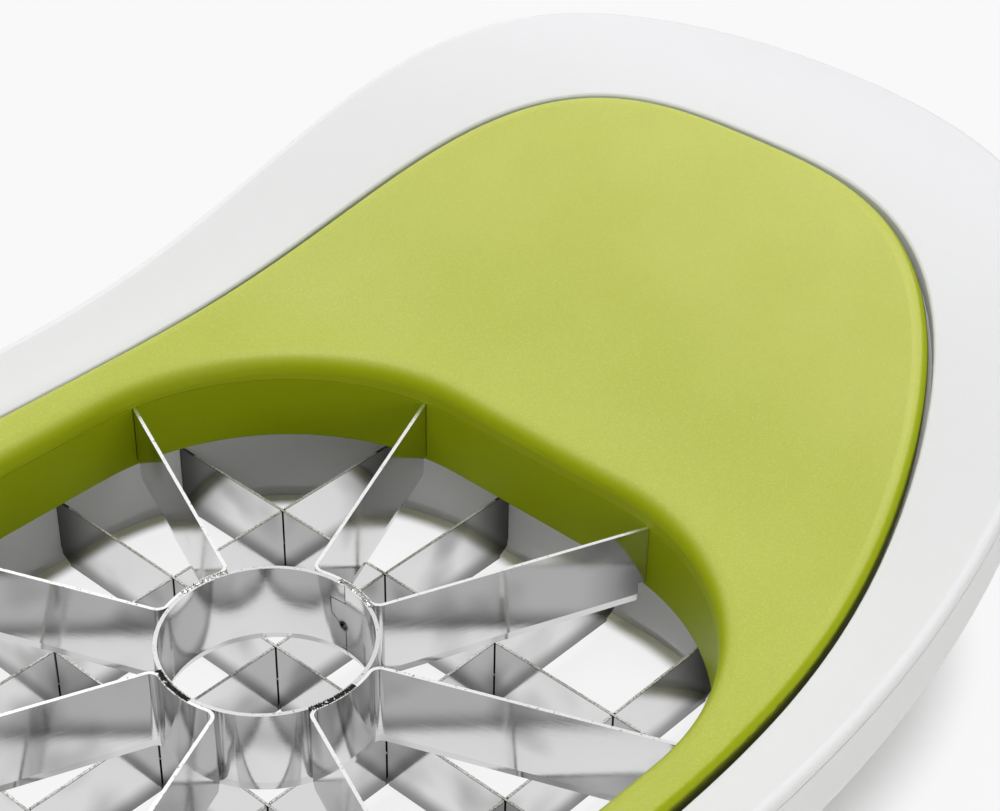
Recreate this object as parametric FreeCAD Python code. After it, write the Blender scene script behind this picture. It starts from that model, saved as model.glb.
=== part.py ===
import FreeCAD
import Part
import math
import os

# Two-in-one apple wedger and chip cutter, pushed down by hand.
# A green apple wedger lies in the recess of a white chip cutter and lifts straight off it.
# Millimetres, +Z up. The origin is on the table, on the axis of the corer.
# The long axis, with the two raised handles, is X.

Vector = FreeCAD.Vector
UP = Vector(0, 0, 1)

# ---------------------------------------------------------------------------
# Driving dimensions
# ---------------------------------------------------------------------------

# Chip grid: strips half-lapped into a square lattice
chip_pitch = 17.0
strips_each_way = 4
strip_thick = 0.3
strip_height = 9.5
strip_edge_above_table = 1.2
strip_bevel = 1.1
strip_nick_height = 0.5
strip_nick_width = 1.2
strip_tab_depth = 2.2
strip_pocket_sill = 0.8
lap_clearance = 0.15
tab_clearance = 0.05

# Apple blades and corer
blade_gap_above_strips = 1.7
blade_height = 10.0
blade_thick = 0.4
blade_bevel = 1.0
edge_thick = 0.08
bend_radius = 1.0
blade_tab_depth = 2.2
blade_free_end_gap = 0.9
vee_count = 4
corer_radius = 11.6
corer_wall = 0.45
corer_clearance = 0.02
corer_seam_width = 0.1
corer_seam_top = 2.4
corer_seam_step = 2.0
corer_seam_side = 2.0
corer_seam_end = 6.3
corer_hole_radius = 0.5
corer_hole_offset = 0.35
corer_hole_depth = 5.6

# Weld beads on the top edges of corer and strips
bead_height = 0.15
bead_width = 0.55
bead_sweep = 28.0
bead_turn = -8.0

# Green wedger
opening_half = 41.3
opening_corner = 29.4
carrier_wall = 3.6
carrier_short_of_blades = 1.8
carrier_slot_floor = 0.7
carrier_edge_radius = 0.3
rim_above_blades = 2.65
plate_thick = 3.2
plate_margin_side = 2.25
plate_margin_end = 33.8
plate_end_power = 2.67
plate_side_power = 2.96
plate_edge_radius = 1.3
opening_rim_radius = 2.5
parting_chamfer = 0.09
carrier_seat_clearance = 0.1

# White chip cutter
collar_clearance = 1.5
collar_wall = 3.2
foot_rebate_height = 2.6
foot_rebate_depth = 1.5
rest_clearance = 0.45
recess_clearance = 0.5
rim_below_plate = 1.55
rim_width_side = 7.6
rim_width_end = 16.0
rim_end_power = 4.2
rim_side_power = 2.0
floor_thick = 1.4
side_wall_height = 8.15
side_wall_thick = 2.0
trim_skin = 1.6
trim_wall = 1.6
trim_outer_radius = 0.8
trim_inner_radius = 0.4
seam_gap = 0.1

# Dished top: level in the middle, rising all round like a bowl, most towards the handle ends
rise_height = 28.9
rise_start_inset = 4.85
rise_end_inset = 4.6
rise_power = 1.0
rise_side_share = 0.93
rise_squareness = 2.95

# ---------------------------------------------------------------------------
# Sizes that follow from the driving dimensions
# ---------------------------------------------------------------------------

strip_low = strip_edge_above_table
strip_top = strip_low + strip_height
strip_middle = strip_low + strip_height / 2

blade_low = strip_top + blade_gap_above_strips
blade_top = blade_low + blade_height
carrier_low = blade_low + carrier_short_of_blades
carrier_slot_low = carrier_low + carrier_slot_floor
pocket_low = foot_rebate_height + strip_pocket_sill

plate_top = blade_top + rim_above_blades
plate_low = plate_top - plate_thick
floor_top = plate_low - rest_clearance
floor_low = floor_top - floor_thick
rim_top = plate_top - rim_below_plate
side_low = rim_top - side_wall_height

carrier_half = opening_half + carrier_wall
carrier_corner = opening_corner + carrier_wall
collar_half = carrier_half + collar_clearance
collar_corner = carrier_corner + collar_clearance

plate_half_width = carrier_half + plate_margin_side
plate_half_length = carrier_half + plate_margin_end
rim_half_width = plate_half_width + recess_clearance + rim_width_side
rim_half_length = plate_half_length + recess_clearance + rim_width_end

rise_start = opening_half - rise_start_inset
rise_end = rim_half_length - rise_end_inset

# Room by which cutting tools run past the bodies they cut
overrun = 10.0
tool_top = rim_top + 3 * overrun

# Fineness of the curved faces: points of the dished surface and of an oval outline
dish_columns = 41
dish_rows = 27
oval_count = 72

# How closely an edge must lie on a surface to be picked for rounding
on_surface = 0.05


# ---------------------------------------------------------------------------
# Shared shapes
# ---------------------------------------------------------------------------

def rise(x, y):
    """Height that the dished top gains at a place in plan."""
    power = rise_squareness
    reach = (abs(x) ** power + abs(rise_side_share * y) ** power) ** (1 / power)
    share = (reach - rise_start) / (rise_end - rise_start)
    share = min(max(share, 0.0), 1.0)
    return rise_height * math.sin(math.pi / 2 * share ** rise_power) ** 2


def dished_slab(low, high):
    """Everything between two copies of the dished surface, larger than the tool in plan."""
    half_x = rim_half_length + overrun
    half_y = rim_half_width + overrun
    grid = []
    for i in range(dish_columns):
        x = half_x * (2 * i / (dish_columns - 1) - 1)
        line = []
        for j in range(dish_rows):
            y = half_y * (2 * j / (dish_rows - 1) - 1)
            line.append(Vector(x, y, low + rise(x, y)))
        grid.append(line)
    surface = Part.BSplineSurface()
    surface.interpolate(grid)
    return surface.toShape().extrude(UP * (high - low))


def oval_reach(angle, half_length, half_width, end_power, side_power):
    """Distance from the middle to the oval |x/a|^p + |y/b|^q = 1 in one direction."""
    across = abs(math.cos(angle)) / half_length
    along = abs(math.sin(angle)) / half_width
    near = 0.0
    far = half_length + half_width
    for _ in range(50):
        middle = (near + far) / 2
        if (middle * across) ** end_power + (middle * along) ** side_power < 1:
            near = middle
        else:
            far = middle
    return near


def oval_points(half_length, half_width, end_power, side_power, offset):
    """Evenly turned points of the oval, moved outwards by the offset."""
    points = []
    for i in range(oval_count):
        angle = 2 * math.pi * i / oval_count
        reach = oval_reach(angle, half_length, half_width, end_power, side_power)
        x = reach * math.cos(angle)
        y = reach * math.sin(angle)
        lean_x = end_power * abs(x / half_length) ** (end_power - 1) / half_length
        lean_y = side_power * abs(y / half_width) ** (side_power - 1) / half_width
        outwards = Vector(math.copysign(lean_x, x), math.copysign(lean_y, y), 0)
        outwards.normalize()
        points.append(Vector(x, y, 0) + outwards * offset)
    return points


def upright_prism(points):
    """Solid with a smooth closed plan outline, from the table to well above the tool."""
    curve = Part.BSplineCurve()
    curve.interpolate(points, PeriodicFlag=True)
    quarter = (curve.LastParameter - curve.FirstParameter) / 4
    edges = [curve.toShape(i * quarter, (i + 1) * quarter) for i in range(4)]
    face = Part.Face(Part.Wire(edges))
    return face.extrude(UP * (rim_top + rise_height + overrun))


def plate_prism(offset=0.0):
    return upright_prism(oval_points(
        plate_half_length, plate_half_width, plate_end_power, plate_side_power, offset))


def rim_prism(offset=0.0):
    return upright_prism(oval_points(
        rim_half_length, rim_half_width, rim_end_power, rim_side_power, offset))


def rounded_block(half, corner, low, high):
    """Square block with rounded upright edges, centred on the corer."""
    block = Part.makeBox(2 * half, 2 * half, high - low, Vector(-half, -half, low))
    upright = [edge for edge in block.Edges if abs(edge.tangentAt(0).z) > 0.5]
    return block.makeFillet(corner, upright)


def wall_distance(half, corner, side):
    """Distance from the middle plane to a rounded square's wall, at a distance to one side."""
    bend_start = half - corner
    if abs(side) <= bend_start:
        return half
    return bend_start + math.sqrt(corner ** 2 - (abs(side) - bend_start) ** 2)


def wall_reach(half, corner, angle):
    """Distance from the middle to a rounded square's wall, in one direction in degrees."""
    turn = math.radians(abs((angle + 45) % 90 - 45))
    across = math.cos(turn)
    along = math.sin(turn)
    bend_start = half - corner
    if half / across * along <= bend_start:
        return half / across
    middle = bend_start * (across + along)
    return middle + math.sqrt(middle ** 2 - 2 * bend_start ** 2 + corner ** 2)


def dish_edges(shape, height, inside):
    """Edges that lie on the dished surface at a height and whose points pass a test in plan."""
    found = []
    for edge in shape.Edges:
        span = edge.LastParameter - edge.FirstParameter
        points = [edge.valueAt(edge.FirstParameter + span * share) for share in (0.1, 0.5, 0.9)]
        on_dish = all(abs(p.z - height - rise(p.x, p.y)) < on_surface for p in points)
        if on_dish and all(inside(p) for p in points):
            found.append(edge)
    return found


def level_edges(shape, height, reach):
    """Level edges at one height that stay within a distance of the middle planes."""
    found = []
    for edge in shape.Edges:
        box = edge.BoundBox
        level = max(abs(box.ZMin - height), abs(box.ZMax - height)) < on_surface
        if level and max(-box.XMin, box.XMax, -box.YMin, box.YMax) < reach + on_surface:
            found.append(edge)
    return found


# ---------------------------------------------------------------------------
# Green wedger: plate and blade carrier
# ---------------------------------------------------------------------------

def near_opening(point):
    """Whether a point lies at the apple opening rather than at the plate's outer edge."""
    angle = math.degrees(math.atan2(point.y, point.x))
    reach = wall_reach(opening_half, opening_corner, angle) + carrier_wall / 2
    return math.hypot(point.x, point.y) < reach


def make_wedger_top():
    """Dished plate with both handles, the apple opening and a skirt down to the carrier."""
    plate = dished_slab(plate_low, plate_top).common(plate_prism())
    plate = plate.makeFillet(plate_edge_radius, dish_edges(plate, plate_top, lambda point: True))
    skirt = rounded_block(carrier_half, carrier_corner, blade_top, tool_top)
    skirt = skirt.cut(dished_slab(plate_top - plate_thick / 2, tool_top + overrun))
    seat = rounded_block(carrier_half + carrier_seat_clearance,
                         carrier_corner + carrier_seat_clearance, 0, blade_top)
    opening = rounded_block(opening_half, opening_corner, 0, tool_top)
    body = plate.fuse(skirt).cut(seat).cut(opening)
    body = body.makeFillet(opening_rim_radius, dish_edges(body, plate_top, near_opening))
    return body.makeChamfer(parting_chamfer, level_edges(body, blade_top, opening_half))


def make_wedge_blade_carrier():
    """Ring under the plate, with a slot for the outer end of each blade."""
    ring = rounded_block(carrier_half, carrier_corner, carrier_low, blade_top)
    ring = ring.cut(rounded_block(opening_half, opening_corner, 0, blade_top + overrun))
    ring = ring.makeChamfer(parting_chamfer, level_edges(ring, blade_top, opening_half))
    ring = ring.makeFillet(carrier_edge_radius, level_edges(ring, carrier_low, carrier_half))
    for angle in blade_angles():
        wall = wall_reach(opening_half, opening_corner, angle)
        length = wall + blade_tab_depth + tab_clearance
        width = blade_thick + 2 * tab_clearance
        slot = Part.makeBox(length, width, blade_height + overrun,
                            Vector(0, -width / 2, carrier_slot_low))
        slot.rotate(Vector(), UP, angle)
        ring = ring.cut(slot)
    return ring


# ---------------------------------------------------------------------------
# Apple blades and corer
# ---------------------------------------------------------------------------

def vee_middle(number):
    return 360 / vee_count * number


def blade_angles():
    """Directions of all blades: two arms for each bent strip, evenly spread."""
    half_turn = 90 / vee_count
    angles = []
    for number in range(vee_count):
        angles.append(vee_middle(number) - half_turn)
        angles.append(vee_middle(number) + half_turn)
    return angles


def vee_face_points(left_length, right_length, side):
    """Plan points of one face of a bent strip: arm, bend, corer, bend, arm.

    The face lies at a distance to one side of the strip's middle line, positive towards the
    inside of the vee. The vee opens along +X, and its left arm is on the +Y side.
    """
    half_turn = math.radians(90 / vee_count)
    along = Vector(math.cos(half_turn), math.sin(half_turn), 0)
    across = Vector(math.sin(half_turn), -math.cos(half_turn), 0)
    hug = corer_radius + corer_clearance + blade_thick / 2
    bend = bend_radius + blade_thick / 2
    bend_distance = math.sqrt((hug + bend) ** 2 - bend ** 2)
    centre = along * bend_distance + across * bend
    outwards = Vector(centre).normalize()
    halfway = (across + outwards).normalize()

    turn = [along * bend_distance + across * side,
            centre - halfway * (bend - side),
            outwards * (hug + side)]
    left = [along * left_length + across * side] + turn
    right = [along * right_length + across * side] + turn
    nose = Vector(hug + side, 0, 0)
    return left + [nose] + [Vector(point.x, -point.y, 0) for point in right[::-1]]


def vee_face_edges(points):
    """Edges of one face of a bent strip in plan, through its nine points."""
    return [Part.LineSegment(points[0], points[1]).toShape(),
            Part.Arc(points[1], points[2], points[3]).toShape(),
            Part.Arc(points[3], points[4], points[5]).toShape(),
            Part.Arc(points[5], points[6], points[7]).toShape(),
            Part.LineSegment(points[7], points[8]).toShape()]


def vee_wire(left_length, right_length, thick, height):
    """Closed plan outline of a bent strip of the given thickness, at one height."""
    outside = vee_face_points(left_length, right_length, -thick / 2)
    inside = vee_face_points(left_length, right_length, thick / 2)
    caps = [Part.LineSegment(outside[0], inside[0]).toShape(),
            Part.LineSegment(outside[-1], inside[-1]).toShape()]
    edges = vee_face_edges(outside) + vee_face_edges(inside) + caps
    wire = Part.Wire(Part.sortEdges(edges)[0])
    wire.translate(UP * height)
    return wire


def make_wedge_strip(number):
    """Bent steel strip with two blades, sharpened below, tabs at both outer ends."""
    half_turn = 90 / vee_count
    walls = {}
    for sign in (1, -1):
        angle = vee_middle(number) + sign * half_turn
        walls[sign] = wall_reach(opening_half, opening_corner, angle)
    left = walls[1] + blade_tab_depth
    right = walls[-1] + blade_tab_depth
    wires = [vee_wire(left, right, edge_thick, blade_low),
             vee_wire(left, right, blade_thick, blade_low + blade_bevel),
             vee_wire(left, right, blade_thick, blade_top)]
    strip = Part.makeLoft(wires, True, True)
    for sign in (1, -1):
        start = walls[sign] - blade_free_end_gap
        below_tab = Part.makeBox(overrun, overrun, carrier_slot_low + tab_clearance,
                                 Vector(start, -overrun / 2, 0))
        below_tab.rotate(Vector(), UP, sign * half_turn)
        strip = strip.cut(below_tab)
    strip.rotate(Vector(), UP, vee_middle(number))
    return strip


def seam_leg(side_from, drop_from, side_to, drop_to):
    """Narrow cut through the corer's wall between two places of its seam."""
    start = Vector(corer_radius - 2 * corer_wall, side_from, blade_top - drop_from)
    end = Vector(corer_radius - 2 * corer_wall, side_to, blade_top - drop_to)
    line = end - start
    line.normalize()
    half_width = Vector(0, -line.z, line.y) * (corer_seam_width / 2)
    start = start - line * (corer_seam_width / 2)
    end = end + line * (corer_seam_width / 2)
    corners = [start + half_width, end + half_width, end - half_width, start - half_width]
    face = Part.Face(Part.makePolygon(corners + corners[:1]))
    return face.extrude(Vector(3 * corer_wall, 0, 0))


def make_core_ring():
    """Corer band, sharpened inside at the bottom, closed by a hooked seam with a small hole."""
    inner = corer_radius - corer_wall
    profile = [Vector(inner, 0, blade_top),
               Vector(corer_radius, 0, blade_top),
               Vector(corer_radius, 0, blade_low),
               Vector(corer_radius - edge_thick, 0, blade_low),
               Vector(inner, 0, blade_low + blade_bevel)]
    ring = Part.Face(Part.makePolygon(profile + profile[:1])).revolve(Vector(), UP, 360)
    seam = [(0, -overrun),
            (0, corer_seam_top),
            (corer_seam_side, corer_seam_top),
            (corer_seam_side, corer_seam_top + corer_seam_step),
            (0, corer_seam_end),
            (0, blade_height + overrun)]
    for start, end in zip(seam, seam[1:]):
        ring = ring.cut(seam_leg(*start, *end))
    hole = Part.makeCylinder(corer_hole_radius, 3 * corer_wall,
                             Vector(corer_radius - 2 * corer_wall, corer_hole_offset,
                                    blade_top - corer_hole_depth), Vector(1, 0, 0))
    return ring.cut(hole)


def make_ring_weld(number):
    """Bead across the top edges of the corer and one bent strip."""
    middle = corer_radius + corer_clearance / 2
    left = Vector(middle - bead_width / 2, 0, blade_top)
    right = Vector(middle + bead_width / 2, 0, blade_top)
    crown = Vector(middle, 0, blade_top + bead_height)
    outline = Part.Wire([Part.Arc(left, crown, right).toShape(),
                         Part.LineSegment(right, left).toShape()])
    bead = Part.Face(outline).revolve(Vector(), UP, bead_sweep)
    bead.rotate(Vector(), UP, vee_middle(number) + bead_turn - bead_sweep / 2)
    return bead


# ---------------------------------------------------------------------------
# White chip cutter: chip strips
# ---------------------------------------------------------------------------

def strip_places():
    """Sideways places of the strips of one direction, evenly spread about the middle."""
    return [chip_pitch * (number - (strips_each_way - 1) / 2) for number in range(strips_each_way)]


def make_chip_strip(place, slots_from_top):
    """Straight strip along X at one sideways place, with half-lap slots for its neighbours."""
    wall = wall_distance(collar_half, collar_corner, abs(place) + strip_thick / 2)
    length = wall_distance(collar_half, collar_corner, place) + strip_tab_depth
    free_end = wall - tab_clearance
    half = strip_thick / 2
    section = [Vector(-length, place - half, strip_top),
               Vector(-length, place - half, strip_low + strip_bevel),
               Vector(-length, place - edge_thick / 2, strip_low),
               Vector(-length, place + edge_thick / 2, strip_low),
               Vector(-length, place + half, strip_low + strip_bevel),
               Vector(-length, place + half, strip_top)]
    strip = Part.Face(Part.makePolygon(section + section[:1])).extrude(Vector(2 * length, 0, 0))

    for sign in (1, -1):
        nick = [Vector(sign * (free_end - strip_nick_width), 0, 0),
                Vector(sign * (free_end - strip_nick_width), 0, strip_low + strip_nick_height),
                Vector(sign * free_end, 0, foot_rebate_height),
                Vector(sign * free_end, 0, pocket_low + tab_clearance),
                Vector(sign * (length + overrun), 0, pocket_low + tab_clearance),
                Vector(sign * (length + overrun), 0, 0)]
        tool = Part.Face(Part.makePolygon(nick + nick[:1])).extrude(Vector(0, 2 * overrun, 0))
        tool.translate(Vector(0, place - overrun, 0))
        strip = strip.cut(tool)

    width = strip_thick + 2 * lap_clearance
    for crossing in strip_places():
        if slots_from_top:
            low = strip_middle - lap_clearance
            high = strip_top + overrun
        else:
            low = 0
            high = strip_middle + lap_clearance
        slot = Part.makeBox(width, overrun, high - low,
                            Vector(crossing - width / 2, place - overrun / 2, low))
        strip = strip.cut(slot)
    return strip


def make_chip_strip_cross(place):
    """The same strip turned across the tool, slotted from below."""
    strip = make_chip_strip(place, False)
    strip.rotate(Vector(), UP, 90)
    return strip


# ---------------------------------------------------------------------------
# White chip cutter: collar, tray and trim
# ---------------------------------------------------------------------------

def make_chip_blade_carrier():
    """Collar that holds the strip ends in pockets and stands on the table on its rebated foot."""
    outer_half = collar_half + collar_wall
    outer_corner = collar_corner + collar_wall
    collar = rounded_block(outer_half, outer_corner, 0, rim_top + overrun)
    collar = collar.cut(rounded_block(collar_half, collar_corner, -overrun, tool_top))
    collar = collar.cut(rounded_block(collar_half + foot_rebate_depth,
                                      collar_corner + foot_rebate_depth,
                                      -overrun, foot_rebate_height))
    collar = collar.cut(dished_slab(floor_low - seam_gap, tool_top))
    width = strip_thick + 2 * tab_clearance
    for place in strip_places():
        length = wall_distance(collar_half, collar_corner, place) + strip_tab_depth + tab_clearance
        for turn in (0, 90):
            pocket = Part.makeBox(2 * length, width, strip_top + tab_clearance - pocket_low,
                                  Vector(-length, place - width / 2, pocket_low))
            pocket.rotate(Vector(), UP, turn)
            collar = collar.cut(pocket)
    return collar


def make_chipper_tray():
    """Recess floor of the chip cutter with a side wall that hangs round both handles."""
    tray = dished_slab(side_low, rim_top - trim_skin - seam_gap).common(rim_prism())
    recess = plate_prism(recess_clearance + trim_wall + seam_gap)
    tray = tray.cut(dished_slab(floor_top, rim_top + overrun).common(recess))
    hollow = rim_prism(-side_wall_thick)
    tray = tray.cut(dished_slab(side_low - overrun, floor_low).common(hollow))
    return tray.cut(rounded_block(collar_half, collar_corner, 0, tool_top))


def near_outer_edge(point):
    """Whether a point lies at the trim's outer edge rather than at the recess."""
    reach = oval_reach(math.atan2(point.y, point.x), rim_half_length, rim_half_width,
                       rim_end_power, rim_side_power)
    return math.hypot(point.x, point.y) > reach - rim_width_side / 2


def make_chipper_rim():
    """Trim ring: rounded top skin with a wall down its inside, seated on the tray."""
    ring = rim_prism().cut(plate_prism(recess_clearance))
    trim = dished_slab(floor_top + seam_gap, rim_top).common(ring)
    under = dished_slab(side_low, rim_top - trim_skin)
    trim = trim.cut(under.cut(plate_prism(recess_clearance + trim_wall)))
    outer = dish_edges(trim, rim_top, near_outer_edge)
    trim = trim.makeFillet(trim_outer_radius, outer)
    inner = dish_edges(trim, rim_top, lambda point: not near_outer_edge(point))
    return trim.makeFillet(trim_inner_radius, inner)


# ---------------------------------------------------------------------------
# All pieces
# ---------------------------------------------------------------------------

def make_pieces():
    """Every separate piece of the tool, by its node name."""
    pieces = {
        "wedger_top": make_wedger_top(),
        "wedge_blade_carrier": make_wedge_blade_carrier(),
        "core_ring": make_core_ring(),
        "chipper_tray": make_chipper_tray(),
        "chipper_rim": make_chipper_rim(),
        "chip_blade_carrier": make_chip_blade_carrier(),
    }
    for number in range(vee_count):
        pieces[f"wedge_strip_{number + 1}"] = make_wedge_strip(number)
        pieces[f"ring_weld_{number + 1}"] = make_ring_weld(number)
    for number, place in enumerate(strip_places()):
        pieces[f"chip_strip_long_{number + 1}"] = make_chip_strip(place, True)
        pieces[f"chip_strip_cross_{number + 1}"] = make_chip_strip_cross(place)
    return pieces


def main():
    os.makedirs("parts", exist_ok=True)
    for name, shape in make_pieces().items():
        shape.exportStep(os.path.join("parts", name + ".step"))
        box = shape.BoundBox
        print(f"{name}: solids {len(shape.Solids)}, valid {shape.isValid()},"
              f" volume {shape.Volume:.1f}, z {box.ZMin:.2f} to {box.ZMax:.2f}")


if __name__ == "__main__":
    main()
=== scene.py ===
# %% [markdown]
# Two-in-one apple wedger and chip cutter.
#
# A green apple wedger lies in the recess of a white chip cutter. The construction comes packed
# as a fixed frame of named nodes, in metres, standing on z = 0 with the corer's axis at x = y = 0.
# This lesson gives every surface its finish, adds the fine detail of the steel, and sets the
# table, the light and the camera.

import math
import random

import bmesh
import bpy
from mathutils import Matrix, Quaternion, Vector


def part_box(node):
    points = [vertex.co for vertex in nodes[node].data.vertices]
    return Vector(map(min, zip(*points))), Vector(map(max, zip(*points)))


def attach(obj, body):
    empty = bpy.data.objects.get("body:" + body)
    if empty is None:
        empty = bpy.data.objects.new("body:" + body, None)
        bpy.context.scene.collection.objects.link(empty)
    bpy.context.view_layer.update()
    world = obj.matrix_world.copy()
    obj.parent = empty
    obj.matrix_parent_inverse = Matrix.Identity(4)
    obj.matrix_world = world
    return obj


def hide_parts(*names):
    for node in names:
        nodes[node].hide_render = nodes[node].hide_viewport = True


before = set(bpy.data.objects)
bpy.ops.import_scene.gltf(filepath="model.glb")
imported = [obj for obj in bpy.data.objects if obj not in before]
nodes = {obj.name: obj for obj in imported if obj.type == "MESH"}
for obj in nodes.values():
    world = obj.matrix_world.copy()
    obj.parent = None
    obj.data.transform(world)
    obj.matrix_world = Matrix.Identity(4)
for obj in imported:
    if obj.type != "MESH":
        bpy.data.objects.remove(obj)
bpy.context.view_layer.update()

# %% [markdown]
# The camera looks down on one corner of the tool, from the front left, with a long lens, so the
# two handles keep nearly parallel edges. It is turned by one degree about its own axis. The lens
# and the place come from the real size of the chip grid.

# %% Camera
CAMERA_PLACE = Vector((-0.11442, -0.13361, 0.17664))
CAMERA_HEADING = math.radians(41.763)
CAMERA_DIP = math.radians(35.530)
CAMERA_ROLL = math.radians(1.004)
LENS_MM = 81.46
SENSOR_MM = 36.0
NEAR_CLIP = 0.01

camera_data = bpy.data.cameras.new("camera")
camera_data.lens = LENS_MM
camera_data.sensor_width = SENSOR_MM
camera_data.clip_start = NEAR_CLIP
camera = bpy.data.objects.new("camera", camera_data)
look = Vector((math.cos(CAMERA_DIP) * math.cos(CAMERA_HEADING),
               math.cos(CAMERA_DIP) * math.sin(CAMERA_HEADING),
               -math.sin(CAMERA_DIP)))
camera.location = CAMERA_PLACE
camera.rotation_mode = "QUATERNION"
camera.rotation_quaternion = look.to_track_quat("-Z", "Y") @ Quaternion((0, 0, 1), CAMERA_ROLL)
bpy.context.scene.collection.objects.link(camera)
bpy.context.scene.camera = camera
print("camera at", [round(v, 4) for v in camera.location])

# %% [markdown]
# A material is a small graph of nodes. It could be wired node by node, but the same few steps
# come back in every finish. These helpers add a node with its inputs set by name and hand back
# the socket that comes out, so that the cells below read like a list of what a finish is made of.

# %% Node helpers
def add_node(tree, kind, settings=None, **inputs):
    """A new node; an input is given a number, a colour or another node's output socket."""
    node = tree.nodes.new(kind)
    for name, value in (settings or {}).items():
        setattr(node, name, value)
    for name, value in inputs.items():
        key = int(name[1:]) if name[1:].isdigit() else name.replace("_", " ")
        feed(tree, node.inputs[key], value)
    return node


def feed(tree, socket, value):
    """Gives an input socket a value, or links another node's output to it."""
    if isinstance(value, bpy.types.NodeSocket):
        tree.links.new(value, socket)
    else:
        socket.default_value = value


def math_node(tree, operation, a, b=0.0):
    """One sum on numbers, as a socket."""
    return add_node(tree, "ShaderNodeMath", {"operation": operation}, _0=a, _1=b).outputs[0]


def scaled(tree, value, factor, base):
    """A value times a factor plus a base, as a socket."""
    return add_node(tree, "ShaderNodeMath", {"operation": "MULTIPLY_ADD"},
                    _0=value, _1=factor, _2=base).outputs[0]


def vector_node(tree, operation, a, b=(0, 0, 0)):
    """One sum on vectors, as a socket; a length, distance or dot product is a number."""
    node = add_node(tree, "ShaderNodeVectorMath", {"operation": operation}, _0=a, _1=b)
    gives_number = operation in ("LENGTH", "DISTANCE", "DOT_PRODUCT")
    return node.outputs["Value" if gives_number else "Vector"]


print("node helpers ready")

# %% [markdown]
# Three things feed nearly every finish: where a point lies on the object, a soft random pattern,
# and a smooth step that turns a measure into a mask. Object coordinates are used throughout, so
# that every pattern has its true size in metres and stays on its piece when the piece moves.

# %% Pattern helpers
def object_place(tree):
    """The point on the surface in the object's own metres, as a socket."""
    return add_node(tree, "ShaderNodeTexCoord").outputs["Object"]


def parts_of(tree, vector):
    """The X, Y and Z sockets of a vector."""
    node = add_node(tree, "ShaderNodeSeparateXYZ", Vector=vector)
    return node.outputs["X"], node.outputs["Y"], node.outputs["Z"]


def noise(tree, place, scale, detail, roughness=0.5):
    """A soft random pattern as a socket; the scale is in cells per metre."""
    return add_node(tree, "ShaderNodeTexNoise", Vector=place, Scale=scale, Detail=detail,
                    Roughness=roughness).outputs["Fac"]


def ramp(tree, value, low, high, out_low=0.0, out_high=1.0):
    """A value that goes smoothly from one level to another between two inputs."""
    return add_node(tree, "ShaderNodeMapRange", {"interpolation_type": "SMOOTHSTEP"},
                    Value=value, From_Min=low, From_Max=high,
                    To_Min=out_low, To_Max=out_high).outputs["Result"]


def blend_colour(tree, share, first, second, mode="MIX"):
    """Two colours mixed by a share, as a socket."""
    node = add_node(tree, "ShaderNodeMix", {"data_type": "RGBA", "blend_type": mode})
    for number, value in ((0, share), (6, first), (7, second)):
        feed(tree, node.inputs[number], value)
    return node.outputs[2]


print("pattern helpers ready")

# %% [markdown]
# Each material has one Principled shader. An effect that several finishes share, such as the
# moulded grain, is a shader node group: it is built once, has named inputs and outputs, and each
# material places it with its own values.

# %% Materials and groups
def new_material(name):
    """An empty material with its Principled shader wired to the output."""
    material = bpy.data.materials.new(name)
    material.use_nodes = True
    tree = material.node_tree
    tree.nodes.clear()
    output = tree.nodes.new("ShaderNodeOutputMaterial")
    shader = tree.nodes.new("ShaderNodeBsdfPrincipled")
    tree.links.new(shader.outputs["BSDF"], output.inputs["Surface"])
    return material, tree, shader


def new_group(name, inputs, outputs):
    """An empty shader group with named number inputs and outputs."""
    tree = bpy.data.node_groups.new(name, "ShaderNodeTree")
    for label, value in inputs.items():
        socket = tree.interface.new_socket(label, in_out="INPUT", socket_type="NodeSocketFloat")
        socket.default_value = value
    for label in outputs:
        tree.interface.new_socket(label, in_out="OUTPUT", socket_type="NodeSocketFloat")
    return tree, tree.nodes.new("NodeGroupInput"), tree.nodes.new("NodeGroupOutput")


def close_group(tree, outlet, sockets):
    """Wires each named socket to the group's output of that name."""
    for label, socket in sockets.items():
        tree.links.new(socket, outlet.inputs[label])
    print("group", tree.name, len(tree.nodes), "nodes")


def place_group(tree, group, **inputs):
    """A group put into a material with its own values."""
    return add_node(tree, "ShaderNodeGroup", {"node_tree": group}, **inputs)


print("material helpers ready")

# %% [markdown]
# The wedger's opening and the chip cutter's collar are squares with round corners that share
# their four corner centres. A point's reach is its distance from the nearest corner centre, or
# from the straight line between two of them, so each wall lies at one reach all round. Several
# finishes need it, so it is a group.

# %% Round square group
CORNER_CENTRE = 0.0119

reach_tree, _, reach_out = new_group("round_square", {}, ("Reach",))
past_side = vector_node(reach_tree, "MULTIPLY", object_place(reach_tree), (1, 1, 0))
past_side = vector_node(reach_tree, "ABSOLUTE", past_side)
past_side = vector_node(reach_tree, "SUBTRACT", past_side, (CORNER_CENTRE, CORNER_CENTRE, 0))
past_side = vector_node(reach_tree, "MAXIMUM", past_side)
close_group(reach_tree, reach_out, {"Reach": vector_node(reach_tree, "LENGTH", past_side)})

# %% [markdown]
# The table is one large matte sheet under the tool. A grid of one face is enough, because its
# light and shade come from the material.

# %% Table sheet
FLOOR_HALF = 3.0

floor_mesh = bpy.data.meshes.new("table")
sheet = bmesh.new()
bmesh.ops.create_grid(sheet, x_segments=1, y_segments=1, size=FLOOR_HALF)
sheet.to_mesh(floor_mesh)
sheet.free()
floor = bpy.data.objects.new("table", floor_mesh)
bpy.context.scene.collection.objects.link(floor)
floor_material, tree, shader = new_material("table_white")
floor_mesh.materials.append(floor_material)
print("table", 2 * FLOOR_HALF, "m wide")

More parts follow.
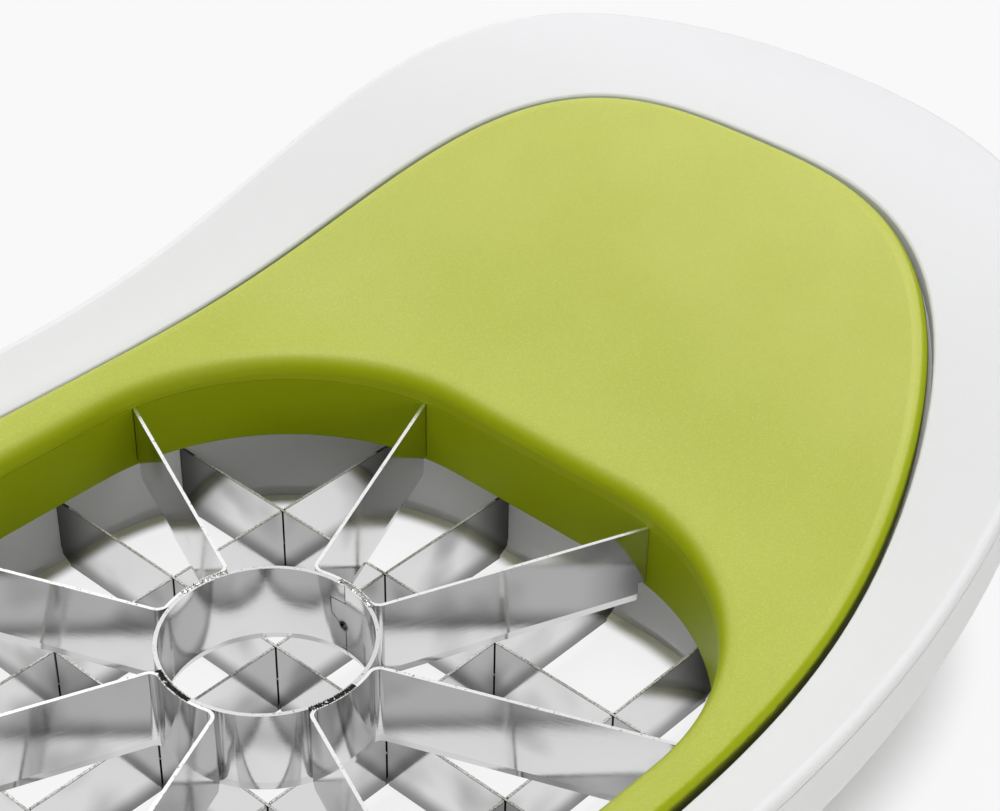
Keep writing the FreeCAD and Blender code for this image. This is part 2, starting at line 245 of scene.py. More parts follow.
# %% [markdown]
# The sheet glows, which is painted light: a share of what is seen of it is its own even white,
# the rest is its true light and shade. The share is high in the open and inside the collar, and
# nothing under the rim and beside the collar's wall, so the masks paint a soft shadow round the
# tool. The rim's outline is an oval whose two powers differ, the collar's a square with round
# corners, and the masks follow these outlines.

# %% Table glow share
OVAL_HALF_LENGTH = 0.0952
OVAL_HALF_WIDTH = 0.05525
OVAL_END_POWER = 4.2
OVAL_SIDE_POWER = 2.0
OVAL_DARK = 0.62
OVAL_OPEN = 0.94
FOOT_REACH = 0.0360
SHADE_REACH = 0.0331
SHADE_FULL = FOOT_REACH - 0.0008
SHARE_OPEN = 0.97
SHARE_UNDER = 0.0
SHARE_INSIDE = 0.88
SHARE_BY_WALL = 0.0

along, across = parts_of(tree, vector_node(tree, "ABSOLUTE", object_place(tree)))[:2]
length_part = math_node(tree, "DIVIDE", along, OVAL_HALF_LENGTH)
width_part = math_node(tree, "DIVIDE", across, OVAL_HALF_WIDTH)
oval = math_node(tree, "ADD", math_node(tree, "POWER", length_part, OVAL_END_POWER),
                 math_node(tree, "POWER", width_part, OVAL_SIDE_POWER))
# Painted soft shadow: the glow fades out across the rim's oval.
outside = ramp(tree, oval, OVAL_DARK, OVAL_OPEN, SHARE_UNDER, SHARE_OPEN)
reach = place_group(tree, reach_tree).outputs["Reach"]
# Painted shade: the glow fades out beside the collar's wall.
inside = ramp(tree, reach, SHADE_REACH, SHADE_FULL, SHARE_INSIDE, SHARE_BY_WALL)
within = math_node(tree, "LESS_THAN", reach, FOOT_REACH)
share = add_node(tree, "ShaderNodeMix", {"data_type": "FLOAT"}, _0=within, _2=outside,
                 _3=inside).outputs["Result"]
print("glow share from", SHARE_BY_WALL, "to", SHARE_OPEN)

# %% [markdown]
# Only the camera, and the steel that mirrors the table, see the glow. For all other light the
# table is plain, so it doesn't light the tool from below more than a real table would. Close to
# the collar's wall the table's colour is painted warm, a painted warm shade.

# %% Table finish
FLOOR_COLOUR = (0.94, 0.94, 0.93, 1.0)
FLOOR_WARM_SHADE = (0.94, 0.93, 0.74, 1.0)
FLOOR_SHOWN = (0.945, 0.945, 0.945, 1.0)
FLOOR_ROUGH = 0.9
FLOOR_GLOSS = 0.1
WARM_FULL = FOOT_REACH - 0.001

shader.inputs["Roughness"].default_value = FLOOR_ROUGH
shader.inputs["Specular IOR Level"].default_value = FLOOR_GLOSS
# Painted warm shade: the colour turns warm beside the collar's wall.
painted_warm_shade = math_node(tree, "MULTIPLY", ramp(tree, reach, SHADE_REACH, WARM_FULL), within)
feed(tree, shader.inputs["Base Color"], blend_colour(tree, painted_warm_shade, FLOOR_COLOUR, FLOOR_WARM_SHADE))
path = add_node(tree, "ShaderNodeLightPath")
seen = math_node(tree, "MAXIMUM", path.outputs["Is Camera Ray"], path.outputs["Is Glossy Ray"])
seen = math_node(tree, "MAXIMUM", seen, path.outputs["Is Transmission Ray"])
glow = add_node(tree, "ShaderNodeEmission", Color=FLOOR_SHOWN, Strength=1.0)
painted_glow_mix = add_node(tree, "ShaderNodeMixShader", _0=math_node(tree, "MULTIPLY", share, seen),
                 _1=shader.outputs["BSDF"], _2=glow.outputs["Emission"])
tree.links.new(painted_glow_mix.outputs["Shader"], tree.nodes["Material Output"].inputs["Surface"])
print("table finish", len(tree.nodes), "nodes")

# %% [markdown]
# The world is a plain pale surround. It lights the tool a little from all round, the steel
# mirrors it slightly darker, and the camera sees it nearly white.

# %% Surround
SURROUND_LIGHT = 0.40
SURROUND_MIRRORED = 0.34
SURROUND_SHOWN = (0.95, 0.95, 0.95, 1.0)

world = bpy.data.worlds.new("surround")
bpy.context.scene.world = world
world.use_nodes = True
sky = world.node_tree
sky.nodes.clear()
sky_out = sky.nodes.new("ShaderNodeOutputWorld")
path = sky.nodes.new("ShaderNodeLightPath")
level = scaled(sky, path.outputs["Is Glossy Ray"], SURROUND_MIRRORED - SURROUND_LIGHT,
               SURROUND_LIGHT)
lighting = add_node(sky, "ShaderNodeBackground", Color=(1, 1, 1, 1), Strength=level)
shown = add_node(sky, "ShaderNodeBackground", Color=SURROUND_SHOWN, Strength=1.0)
choice = add_node(sky, "ShaderNodeMixShader", _0=path.outputs["Is Camera Ray"],
                  _1=lighting.outputs["Background"], _2=shown.outputs["Background"])
sky.links.new(choice.outputs["Shader"], sky_out.inputs["Surface"])
print("surround", len(sky.nodes), "nodes")

# %% [markdown]
# Four soft boxes. The strongest hangs nearly overhead, a little to the viewer's left, and lights
# the table through the opening. Two weak ones stand behind the tool, so that the satin plastic
# and the top edges of the steel catch them. The last stands low in front and lights the walls
# that face the viewer.

# %% Lights
SOFT_BOXES = {  # place, target, width, height and power
    "key_box": ((-0.14, 0.18, 1.20), (0, 0, 0.02), 0.70, 0.70, 7.9),
    "back_box": ((0.70, 0.78, 0.80), (0, 0, 0.02), 1.0, 0.6, 1.2),
    "side_box": ((0.13, 0.85, 1.05), (0.05, 0, 0.03), 0.8, 0.6, 1.8),
    "front_box": ((-0.35, -1.35, 0.50), (0, 0, 0.03), 0.9, 0.6, 4.2),
}

for name, (lamp_place, target, width, height, power) in SOFT_BOXES.items():
    lamp_data = bpy.data.lights.new(name, "AREA")
    lamp_data.shape = "RECTANGLE"
    lamp_data.size = width
    lamp_data.size_y = height
    lamp_data.energy = power
    lamp = bpy.data.objects.new(name, lamp_data)
    lamp.location = lamp_place
    lamp.rotation_mode = "QUATERNION"
    lamp.rotation_quaternion = (Vector(target) - Vector(lamp_place)).to_track_quat("-Z", "Y")
    bpy.context.scene.collection.objects.link(lamp)
    print(name, "power", power)

# %% [markdown]
# The mould of both plastic parts was etched, so the plastic has a fine satin grain about a fifth
# of a millimetre across. Bump alone would vanish at a distance, so the group also gives a speckle
# for the colour, and a slow mottle as thick plastic has where it cooled unevenly.

# %% Moulded grain group
GRAIN_SCALE = 5600.0
COARSE_SCALE = 0.3
COARSE_SHARE = 0.25
MOTTLE_SCALE = 90.0
SPECKLE_FROM = 0.58
SPECKLE_FULL = 0.82

grain_tree, grain_in, grain_out = new_group(
    "moulded_grain", {"Grain Scale": GRAIN_SCALE}, ("Height", "Speckle", "Mottle"))
place = object_place(grain_tree)
scale = grain_in.outputs["Grain Scale"]
fine = noise(grain_tree, place, scale, 1.0)
coarse = noise(grain_tree, place, math_node(grain_tree, "MULTIPLY", scale, COARSE_SCALE), 1.0)
height = math_node(grain_tree, "ADD", fine,
                   math_node(grain_tree, "MULTIPLY", coarse, COARSE_SHARE))
close_group(grain_tree, grain_out, {
    "Height": height,
    "Speckle": ramp(grain_tree, height, SPECKLE_FROM, SPECKLE_FULL),
    "Mottle": noise(grain_tree, place, MOTTLE_SCALE, 3.0)})

# %% [markdown]
# Where the plastic turns away from the light it is deep in colour, and the etched faces around
# it are painted paler as a painted sheen. The deep parts also have little grain, as if the mould
# were polished there: the rounded outer edge and the rounding and wall of the opening. The outer
# edge is found from the slope, because only there the surface tips outwards; where it tips
# furthest lies the groove beside the next piece, which is painted dark as painted shade.

# %% Polished edges, without painted sheen
OUTWARD_STRETCH = (1.0, 2.8, 0.0)
EDGE_FROM = 0.26
EDGE_FULL = 0.56
GROOVE_FROM = 0.80
GROOVE_FULL = 0.985
ROUNDING_FULL = 0.08
ROUNDING_END = 0.48

edge_tree, edge_in, edge_out = new_group(
    "unsheened_polished_edges", {"Wall Reach": 0.0, "Rounding": 0.001}, ("Polished Unsheened", "Groove Shade"))
outward = vector_node(edge_tree, "NORMALIZE",
                      vector_node(edge_tree, "MULTIPLY", object_place(edge_tree),
                                  OUTWARD_STRETCH))
normal = add_node(edge_tree, "ShaderNodeNewGeometry").outputs["Normal"]
tip = vector_node(edge_tree, "DOT_PRODUCT", normal, outward)
outer = ramp(edge_tree, tip, EDGE_FROM, EDGE_FULL)
past = math_node(edge_tree, "SUBTRACT", place_group(edge_tree, reach_tree).outputs["Reach"],
                 edge_in.outputs["Wall Reach"])
part = math_node(edge_tree, "DIVIDE", past, edge_in.outputs["Rounding"])
inner = ramp(edge_tree, part, ROUNDING_FULL, ROUNDING_END, 1.0, 0.0)
close_group(edge_tree, edge_out, {
    "Polished Unsheened": math_node(edge_tree, "MAXIMUM", outer, inner),
    "Groove Shade": ramp(edge_tree, tip, GROOVE_FROM, GROOVE_FULL)})

# %% [markdown]
# Both parts are moulded from the same kind of satin plastic, so one function makes their
# finishes. The colour goes from a painted sheen, pale on the etched faces, to deep on the
# polished edges that turn from the light, a mottle and bright specks break it up, and a little
# light scatters inside it. The grain's relief is a bump, and it is weaker where the mould was
# polished.

# %% Moulded plastic finish
OPENING_REACH = 0.0294
OPENING_ROUNDING = 0.0025
MOTTLE_FROM = 0.30
MOTTLE_FULL = 0.70
MOTTLE_DIP = 0.88
SPARK_SHARE = 0.22
ETCHED_SHEEN = 0.04
SCATTER_SHARE = 0.5
SCATTER_DEPTH = 0.0006
POLISHED_RELIEF = 0.25
LOW_BAND = 0.024
HANDLE_TOP = 0.042


def moulded_plastic(name, deep, top, spark, rough, gloss, grain_height, scatter=(1, 1, 1),
                    groove_shade=None, low=None):
    """Satin plastic: painted paler with sheen where it is etched, deep on the polished edges."""
    material, tree, shader = new_material(name)
    grain = place_group(tree, grain_tree, Grain_Scale=GRAIN_SCALE)
    edges = place_group(tree, edge_tree, Wall_Reach=OPENING_REACH, Rounding=OPENING_ROUNDING)
    etched_and_sheened = math_node(tree, "SUBTRACT", 1.0, edges.outputs["Polished Unsheened"])
    mottle = ramp(tree, grain.outputs["Mottle"], MOTTLE_FROM, MOTTLE_FULL, MOTTLE_DIP, 1.0)
    # Painted sheen: the raised handles are painted paler than the low middle.
    if low:
        height = parts_of(tree, object_place(tree))[2]
        top = blend_colour(tree, ramp(tree, height, LOW_BAND, HANDLE_TOP), low, top)
    # Painted sheen: the etched faces are painted paler than the deep edges.
    colour = blend_colour(tree, math_node(tree, "MULTIPLY", etched_and_sheened, mottle), deep, top)
    specks = math_node(tree, "MULTIPLY", grain.outputs["Speckle"], etched_and_sheened)
    colour = blend_colour(tree, math_node(tree, "MULTIPLY", specks, SPARK_SHARE), colour, spark)
    # Painted shade: the groove beside the next piece is painted dark.
    if groove_shade:
        colour = blend_colour(tree, edges.outputs["Groove Shade"], colour, groove_shade)
    feed(tree, shader.inputs["Base Color"], colour)
    feed(tree, shader.inputs["Roughness"], scaled(tree, etched_and_sheened, -ETCHED_SHEEN, rough))
    shader.inputs["Specular IOR Level"].default_value = gloss
    shader.inputs["Subsurface Weight"].default_value = SCATTER_SHARE
    shader.inputs["Subsurface Radius"].default_value = scatter
    shader.inputs["Subsurface Scale"].default_value = SCATTER_DEPTH
    relief = math_node(tree, "MULTIPLY", grain.outputs["Height"],
                       ramp(tree, etched_and_sheened, 0.0, 1.0, POLISHED_RELIEF, 1.0))
    bump = add_node(tree, "ShaderNodeBump", Height=relief, Distance=grain_height)
    feed(tree, shader.inputs["Normal"], bump.outputs["Normal"])
    print("made", name, len(tree.nodes), "nodes")
    return material


print("plastic: light goes", SCATTER_DEPTH, "m deep")

# %% [markdown]
# The wedger's plastic is a yellowish apple green, deep and saturated where it turns away from
# the light. The satin top is painted paler, a painted sheen, and the raised handles are painted
# a little paler still than the low middle, more painted sheen. The groove colour is painted
# shade. The ring that holds the blades is the deep green all over, with less gloss.

# %% Green plastic
GREEN_DEEP = (0.350, 0.420, 0.001, 1.0)
GREEN_SHEENED_TOP = (0.570, 0.605, 0.132, 1.0)
GREEN_SHEENED_LOW = (0.480, 0.532, 0.086, 1.0)
GREEN_SPARK = (0.680, 0.710, 0.240, 1.0)
GREEN_RING = (0.300, 0.370, 0.001, 1.0)
GREEN_GROOVE_SHADE = (0.080, 0.095, 0.001, 1.0)
GREEN_SCATTER = (0.9, 1.0, 0.2)
GREEN_ROUGH = 0.46
GREEN_GRAIN = 0.00001

green_finish = moulded_plastic("green_satin_plastic", GREEN_DEEP, GREEN_SHEENED_TOP, GREEN_SPARK,
                               rough=GREEN_ROUGH, gloss=0.22, grain_height=GREEN_GRAIN,
                               scatter=GREEN_SCATTER, groove_shade=GREEN_GROOVE_SHADE, low=GREEN_SHEENED_LOW)
ring_finish = moulded_plastic("green_ring_plastic", GREEN_RING, GREEN_RING, GREEN_DEEP,
                              rough=GREEN_ROUGH, gloss=0.10, grain_height=GREEN_GRAIN,
                              scatter=GREEN_SCATTER)

# %% [markdown]
# The chip cutter's plastic comes from the same kind of mould, in a neutral white. Its faces are
# painted a touch lighter and cooler than its edges, a painted sheen. The colours differ by only a
# few percent, because white shows grain as light and shade.

# %% White plastic
WHITE_DEEP = (0.79, 0.79, 0.785, 1.0)
WHITE_SHEENED_TOP = (0.81, 0.81, 0.825, 1.0)
WHITE_SPARK = (0.84, 0.84, 0.84, 1.0)

white_finish = moulded_plastic("white_satin_plastic", WHITE_DEEP, WHITE_SHEENED_TOP, WHITE_SPARK,
                               rough=0.55, gloss=0.08, grain_height=0.000008)

# %% [markdown]
# Strip steel is rolled, so it carries fine lines along its length and reflects a little softer
# across them. The group takes the distance along the strip and the height on it, in metres, and
# gives the lines, slow clouds that are painted dark reflections, and fine dark specks for the
# sheared edges.

# %% Rolled steel group
LINES_ALONG = 60.0
LINES_ACROSS = 9000.0
DARK_REFLECTION_SCALE = 95.0
SPECK_SCALE = 3600.0
SPECKS_FROM = 0.62
SPECKS_FULL = 0.72
SPECKS_MOST = 0.7

steel_tree, steel_in, steel_out = new_group(
    "rolled_steel", {"Along": 0.0, "Height": 0.0}, ("Lines", "Dark Reflections", "Specks"))
flow = add_node(steel_tree, "ShaderNodeCombineXYZ",
                X=math_node(steel_tree, "MULTIPLY", steel_in.outputs["Along"], LINES_ALONG),
                Y=math_node(steel_tree, "MULTIPLY", steel_in.outputs["Height"], LINES_ACROSS))
place = object_place(steel_tree)
specks = ramp(steel_tree, noise(steel_tree, place, SPECK_SCALE, 2.0), SPECKS_FROM, SPECKS_FULL,
              0.0, SPECKS_MOST)
close_group(steel_tree, steel_out, {
    "Lines": noise(steel_tree, flow.outputs["Vector"], 1.0, 3.0, roughness=0.65),
    "Dark Reflections": noise(steel_tree, place, DARK_REFLECTION_SCALE, 1.5),
    "Specks": specks})

# %% [markdown]
# The chip strips cross every 17 mm, half lapped into each other. At each crossing the slot shows
# as a thin dark line. It is found from the distance to the nearest crossing strip, which the
# fraction of a point's place over the pitch gives for all strips at once.

# %% Lap lines of the grid
CHIP_PITCH = 0.017
LAP_HALF = 0.00032
LAP_BLUR = 0.00006

grid_tree, _, grid_out = new_group("strip_grid", {}, ("Dark", "Shade", "Edge Glints", "End"))
place = object_place(grid_tree)
across_x, across_y, height = parts_of(grid_tree, place)


def line_distance(axis):
    """Distance from the nearest strip that crosses this axis, as a socket."""
    turns = math_node(grid_tree, "DIVIDE", axis, CHIP_PITCH)
    left = math_node(grid_tree, "SUBTRACT", math_node(grid_tree, "FRACT", turns), 0.5)
    return math_node(grid_tree, "MULTIPLY", math_node(grid_tree, "ABSOLUTE", left), CHIP_PITCH)


gap = math_node(grid_tree, "MAXIMUM", line_distance(across_x), line_distance(across_y))
lap = ramp(grid_tree, gap, LAP_HALF - LAP_BLUR, LAP_HALF, 1.0, 0.0)
side_x, side_y = parts_of(grid_tree, vector_node(grid_tree, "ABSOLUTE", place))[:2]
furthest = math_node(grid_tree, "MAXIMUM", side_x, side_y)
lap = math_node(grid_tree, "MULTIPLY", lap,
                math_node(grid_tree, "LESS_THAN", furthest, 2 * CHIP_PITCH))
print("lap lines every", CHIP_PITCH, "m")

# %% [markdown]
# Just below the sheared top edge of a strip runs a dark line, and the edge itself has painted
# glints in specks. Towards the collar the steel is painted darker as painted shade, and where its
# edge enters the pocket it is painted black, a painted dark reflection of the ring above. All
# these marks go into the same group as the lap lines.

# %% Strip grid group
STRIP_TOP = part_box("chip_strip_long_1")[1][2]
DARK_LINE_HEIGHT = 0.00016
DARK_LINE_MOST = 0.7
GLINT_SCALE = 4200.0
GLINT_FROM = 0.42
GLINT_FULL = 0.54
POCKET_REACH = 0.0345
END_REACH = POCKET_REACH - 0.0023
END_BLUR = 0.0001
SHADE_RUN = 0.009
SHADE_MOST = 0.95

under_edge = ramp(grid_tree, height, STRIP_TOP - DARK_LINE_HEIGHT, STRIP_TOP - DARK_LINE_HEIGHT / 2,
                  0.0, DARK_LINE_MOST)
reach = place_group(grid_tree, reach_tree).outputs["Reach"]
close_group(grid_tree, grid_out, {
    "Dark": math_node(grid_tree, "MAXIMUM", lap, under_edge),
    "Shade": ramp(grid_tree, reach, POCKET_REACH - SHADE_RUN, POCKET_REACH, 0.0, SHADE_MOST),
    "Edge Glints": ramp(grid_tree, noise(grid_tree, place, GLINT_SCALE, 2.0), GLINT_FROM, GLINT_FULL),
    "End": ramp(grid_tree, reach, END_REACH, END_REACH + END_BLUR)})

# %% [markdown]
# All blades are bright stainless steel. The rolled lines must follow each piece: outwards on the
# wedging blades, round the corer, and straight along the chip strips. The place along a piece is
# therefore worked out from its own shape. A strip's lines would otherwise run off at an angle.

# %% Place along a blade
CORER_RADIUS = 0.0116


def place_along(tree, place, along):
    """How far along its piece a point lies: by radius, by turn, or by a straight side."""
    if along == "radius":
        return vector_node(tree, "LENGTH", vector_node(tree, "MULTIPLY", place, (1, 1, 0)))
    x, y = parts_of(tree, place)[:2]
    if along == "turn":
        return math_node(tree, "MULTIPLY", math_node(tree, "ARCTAN2", y, x), CORER_RADIUS)
    return math_node(tree, "ADD", x, y)


print("corer radius", CORER_RADIUS)

# %% [markdown]
# The blades differ in where they are ground. The wedging blades and the corer have a bevel at the
# bottom and a sheared, bright top edge. The chip strips darken softly downwards and have a duller
# top edge. Each finish takes its own heights and colours. The corer's seam ends in a small
# scorched hole, which is darkened by the distance from its centre.

# %% Blade colours
STEEL = (0.75, 0.75, 0.755, 1.0)
STEEL_DARK_REFLECTION = (0.30, 0.30, 0.298, 1.0)
STEEL_SHADE = (0.12, 0.12, 0.115, 1.0)
EDGE_GLINT = (0.80, 0.79, 0.77, 1.0)
DARK_MARKS_AND_SHADE = (0.035, 0.032, 0.028, 1.0)
CLOUD_FROM = 0.50
CLOUD_FULL = 0.76
CLOUD_MOST = 0.75
SEAM_HOLE = (0.0116, 0.00035, 0.0168)
HOLE_SCORCHED = 0.0006
HOLE_CLEAN = 0.0010
HOLE_MOST = 0.9


def blade_colour(tree, place, steel, low, top, ground, edge, grid, seam):
    """Steel with painted dark reflections, ground bevel and top edge, and grid or seam marks."""
    # Slow dark clouds are painted reflections of dark surroundings.
    painted_reflections = ramp(tree, steel.outputs["Dark Reflections"], CLOUD_FROM, CLOUD_FULL, 0.0, CLOUD_MOST)
    colour = blend_colour(tree, painted_reflections, STEEL, STEEL_DARK_REFLECTION)
    colour = blend_colour(tree, low, colour, ground, "MULTIPLY")
    if grid:
        marks = place_group(tree, grid_tree)
        # Painted shade towards the collar's wall.
        colour = blend_colour(tree, marks.outputs["Shade"], colour, STEEL_SHADE)
        colour = blend_colour(tree, marks.outputs["Dark"], colour, DARK_MARKS_AND_SHADE)
        # Painted glints on the sheared edge.
        edge = blend_colour(tree, marks.outputs["Edge Glints"], edge, EDGE_GLINT)
        # Painted dark reflection where the edge enters the pocket.
        edge = blend_colour(tree, marks.outputs["End"], edge, DARK_MARKS_AND_SHADE)
    else:
        edge = blend_colour(tree, steel.outputs["Specks"], edge, DARK_MARKS_AND_SHADE)
    if seam:
        scorch = ramp(tree, vector_node(tree, "DISTANCE", place, SEAM_HOLE),
                      HOLE_SCORCHED, HOLE_CLEAN, HOLE_MOST, 0.0)
        colour = blend_colour(tree, scorch, colour, DARK_MARKS_AND_SHADE)
    return blend_colour(tree, top, colour, edge)


print("steel", STEEL[:3])

# %% [markdown]
# The finish itself joins the colour with the roughness and the bump. The rolled lines, the bevel
# and the sheared edge each add to the roughness. The edge of the chip strips has a metal share
# below one, because its burr scatters the light like a dull surface. Steel that is seen in other
# steel is painted a little darker, a painted darkening of its reflections.

# %% Blade finish
REFLECTION_DARKENING = 0.22
EDGE_FACING_FROM = 0.6
EDGE_FACING_FULL = 0.9
ROUGH_LEAST = 0.05
ROUGH_LINES = 0.08
ROUGH_BEVEL = 0.06
ROUGH_EDGE = 0.20
LINE_RELIEF = 0.000004
LINE_STRENGTH = 0.6


def blade_finish(name, along, bevel_top, ground, edge, edge_metal=1.0, bevel_blur=0.0001):
    """Rolled steel with a ground bevel up to a height and a sheared top edge."""
    material, tree, shader = new_material(name)
    place = object_place(tree)
    height = parts_of(tree, place)[2]
    steel = place_group(tree, steel_tree, Along=place_along(tree, place, along), Height=height)
    low = ramp(tree, height, bevel_top - bevel_blur, bevel_top, 1.0, 0.0)
    facing = parts_of(tree, add_node(tree, "ShaderNodeNewGeometry").outputs["Normal"])[2]
    top = ramp(tree, facing, EDGE_FACING_FROM, EDGE_FACING_FULL)
    colour = blade_colour(tree, place, steel, low, top, ground, edge,
                          grid=along == "side", seam=along == "turn")
    # Painted reflection: steel seen in other steel is painted darker.
    mirrored = add_node(tree, "ShaderNodeLightPath").outputs["Is Glossy Ray"]
    painted_reflection_dark = math_node(tree, "MULTIPLY", mirrored, REFLECTION_DARKENING)
    feed(tree, shader.inputs["Base Color"], blend_colour(tree, painted_reflection_dark, colour, DARK_MARKS_AND_SHADE))
    metal = 1.0 if edge_metal == 1.0 else ramp(tree, top, 0.0, 1.0, 1.0, edge_metal)
    feed(tree, shader.inputs["Metallic"], metal)
    lines = scaled(tree, steel.outputs["Lines"], ROUGH_LINES, ROUGH_LEAST)
    worked = math_node(tree, "MAXIMUM", math_node(tree, "MULTIPLY", low, ROUGH_BEVEL),
                       math_node(tree, "MULTIPLY", top, ROUGH_EDGE))
    feed(tree, shader.inputs["Roughness"], math_node(tree, "ADD", lines, worked))
    bump = add_node(tree, "ShaderNodeBump", Height=steel.outputs["Lines"],
                    Strength=LINE_STRENGTH, Distance=LINE_RELIEF)
    feed(tree, shader.inputs["Normal"], bump.outputs["Normal"])
    print("made", name, len(tree.nodes), "nodes")
    return material


print("steel darkens by", REFLECTION_DARKENING, "in other steel")

# %% [markdown]
# Three finishes come from that one function. The bevel of the wedging blades and of the corer
# ends at the same height, because they stand level. The chip strips have no sharp line: their
# faces darken over 3 mm.

# %% Blade finishes
BEVEL_TOP = 0.0134
BEVEL_TINT = (0.92, 0.92, 0.92, 1.0)
WEDGE_EDGE = (0.92, 0.92, 0.92, 1.0)
CORER_EDGE = (0.74, 0.74, 0.74, 1.0)
STRIP_DARK_TOP = 0.0046
STRIP_DARK_RUN = 0.0030
STRIP_TINT = (0.30, 0.30, 0.295, 1.0)
STRIP_EDGE = (0.40, 0.39, 0.375, 1.0)

wedge_steel = blade_finish("wedging_blade_steel", "radius", BEVEL_TOP, BEVEL_TINT, WEDGE_EDGE)
corer_steel = blade_finish("corer_steel", "turn", BEVEL_TOP, BEVEL_TINT, CORER_EDGE)
chip_steel = blade_finish("chip_strip_steel", "side", STRIP_DARK_TOP, STRIP_TINT, STRIP_EDGE,
                          edge_metal=0.4, bevel_blur=STRIP_DARK_RUN)

# %% [markdown]
# The corer's band and the bent strips are joined by short weld seams along their top edges. On
# two of the seams the steel is scorched nearly black, on the other two it stayed bright. Soot is
# a noise pattern that grows over the steel as its threshold moves, so one number sets how much of
# the seam is black.

# %% Weld finish
WELD_BRIGHT = (0.80, 0.79, 0.78, 1.0)
WELD_SOOT = (0.03, 0.028, 0.026, 1.0)
SOOT_SCALE = 3000.0
SOOT_FROM = 0.30
SOOT_RANGE = 0.32
SOOT_BLUR = 0.12
SOOT_RELIEF = 0.00004
SOOT_ROUGH = 0.6
CLEAN_ROUGH = 0.25


def weld_finish(name, scorched):
    """Rough steel of a weld seam; a scorched share from 0 to 1 turns it black."""
    material, tree, shader = new_material(name)
    soot = noise(tree, object_place(tree), SOOT_SCALE, 3.0)
    level = SOOT_FROM + SOOT_RANGE * scorched
    clean = ramp(tree, soot, level, level + SOOT_BLUR)
    feed(tree, shader.inputs["Base Color"], blend_colour(tree, clean, WELD_SOOT, WELD_BRIGHT))
    shader.inputs["Metallic"].default_value = 1.0
    feed(tree, shader.inputs["Roughness"],
         ramp(tree, clean, 0.0, 1.0, SOOT_ROUGH, CLEAN_ROUGH))
    bump = add_node(tree, "ShaderNodeBump", Height=soot, Distance=SOOT_RELIEF)
    feed(tree, shader.inputs["Normal"], bump.outputs["Normal"])
    return material


bright_weld = weld_finish("bright_weld_steel", scorched=0.15)
black_weld = weld_finish("scorched_weld_steel", scorched=0.9)
print("made", bright_weld.name, black_weld.name)

# %% [markdown]
# The welder leaves a row of tiny ridges across the seam, a quarter of a millimetre apart. A seam
# is half a disc spun along the corer's top edge. The spin axis is the corer's own axis, so the
# piece needs no placing afterwards.

# %% Weld bead
SEAM_RADIUS = 0.01161
SEAM_TOP = 0.0224
SEAM_SINK = 0.00003
SEAM_BASE = SEAM_TOP - SEAM_SINK
SEAM_HALF_WIDTH = 0.00042
SEAM_CROWN = 0.00016
SEAM_SWEEP = math.radians(28.0)
RIDGES = 21
PROFILE_SIDES = 6


def spun_bead():
    """Half a disc spun along a part of the corer's top edge."""
    bead = bmesh.new()
    corners = []
    for number in range(PROFILE_SIDES + 1):
        turn = math.pi * number / PROFILE_SIDES
        corners.append(bead.verts.new((SEAM_RADIUS - SEAM_HALF_WIDTH * math.cos(turn), 0,
                                       SEAM_BASE + SEAM_CROWN * math.sin(turn))))
    profile = bead.faces.new(corners)
    bmesh.ops.spin(bead, geom=[profile] + list(profile.edges) + list(profile.verts),
                   cent=(0, 0, 0), axis=(0, 0, 1), angle=SEAM_SWEEP, steps=2 * RIDGES,
                   use_duplicate=False)
    return bead


print("ridges", round(SEAM_RADIUS * SEAM_SWEEP / RIDGES, 5), "m apart")

# %% [markdown]
# Every other ring of vertices is pulled in, which makes the ridges, and each ring is moved a
# little at random, because a weld is never even. The random numbers start from a fixed seed, so
# the seams come out the same each time.

# %% Weld ridges
RIDGE_VALLEY = 0.55
RIDGE_CHANCE = 0.12
RIDGE_SLIDE = 0.00004
ANGLE_DIGITS = 5


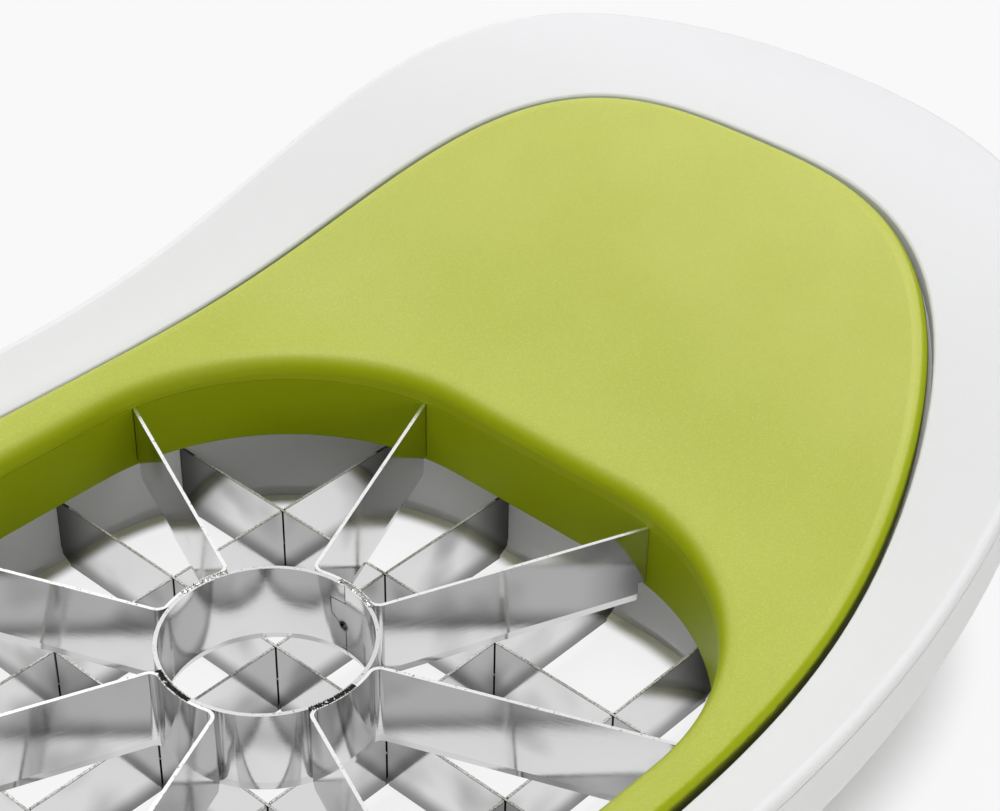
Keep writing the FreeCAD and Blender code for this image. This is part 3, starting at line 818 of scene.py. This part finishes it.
def add_ridges(bead, chance):
    """Ridges across a spun bead, each a little off its place and size."""
    rings = {}
    for vert in bead.verts:
        rings.setdefault(round(math.atan2(vert.co.y, vert.co.x), ANGLE_DIGITS), []).append(vert)
    for number, turn in enumerate(sorted(rings)):
        size = 1.0 if number % 2 else RIDGE_VALLEY
        size += chance.uniform(-RIDGE_CHANCE, RIDGE_CHANCE)
        slide = chance.uniform(-RIDGE_SLIDE, RIDGE_SLIDE)
        outwards = Vector((math.cos(turn), math.sin(turn), 0))
        centre = outwards * (SEAM_RADIUS + slide) + Vector((0, 0, SEAM_BASE))
        for vert in rings[turn]:
            vert.co = centre + (vert.co - outwards * SEAM_RADIUS
                                - Vector((0, 0, SEAM_BASE))) * size


print("valleys", RIDGE_VALLEY, "of a ridge")

# %% [markdown]
# The four seams are the same bead turned to the middle of each bent strip. Each stands for the
# plain bead of the imported frame, which is hidden, and is parented to an empty for the wedger.

# %% Weld seams
SEAM_START = math.radians(-22.0)
FIRST_SEED = 11

for number in range(4):
    bead = spun_bead()
    add_ridges(bead, random.Random(FIRST_SEED + number))
    bmesh.ops.recalc_face_normals(bead, faces=list(bead.faces))
    middle = math.radians(90 * number)
    bmesh.ops.rotate(bead, cent=(0, 0, 0), verts=list(bead.verts),
                     matrix=Matrix.Rotation(middle + SEAM_START, 3, "Z"))
    mesh = bpy.data.meshes.new(f"weld_seam_{number + 1}")
    bead.to_mesh(mesh)
    bead.free()
    mesh.materials.append(black_weld if number > 1 else bright_weld)
    seam = bpy.data.objects.new(mesh.name, mesh)
    bpy.context.scene.collection.objects.link(seam)
    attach(seam, "wedger")
    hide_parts(f"ring_weld_{number + 1}")
    print(seam.name, "faces", len(seam.data.polygons))

# %% [markdown]
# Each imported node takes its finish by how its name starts: the steel pieces by their kind, then
# the ring that holds the blades, then all other pieces of the chip cutter in white and the
# wedger's top in green.

# %% Put the finishes on the nodes
FINISHES = (("core_ring", corer_steel), ("wedge_strip", wedge_steel), ("chip_strip", chip_steel),
            ("ring_weld", black_weld), ("wedge_blade_carrier", ring_finish),
            ("chip", white_finish), ("wedger_top", green_finish))

for name, node in nodes.items():
    finish = next(finish for start, finish in FINISHES if name.startswith(start))
    node.data.materials.clear()
    node.data.materials.append(finish)
    print(name, "-", finish.name)

# %% [markdown]
# The Standard view shows each colour about as it is written, which suits a plain studio scene.

# %% View settings
bpy.context.scene.view_settings.view_transform = "Standard"
print("view transform", bpy.context.scene.view_settings.view_transform)
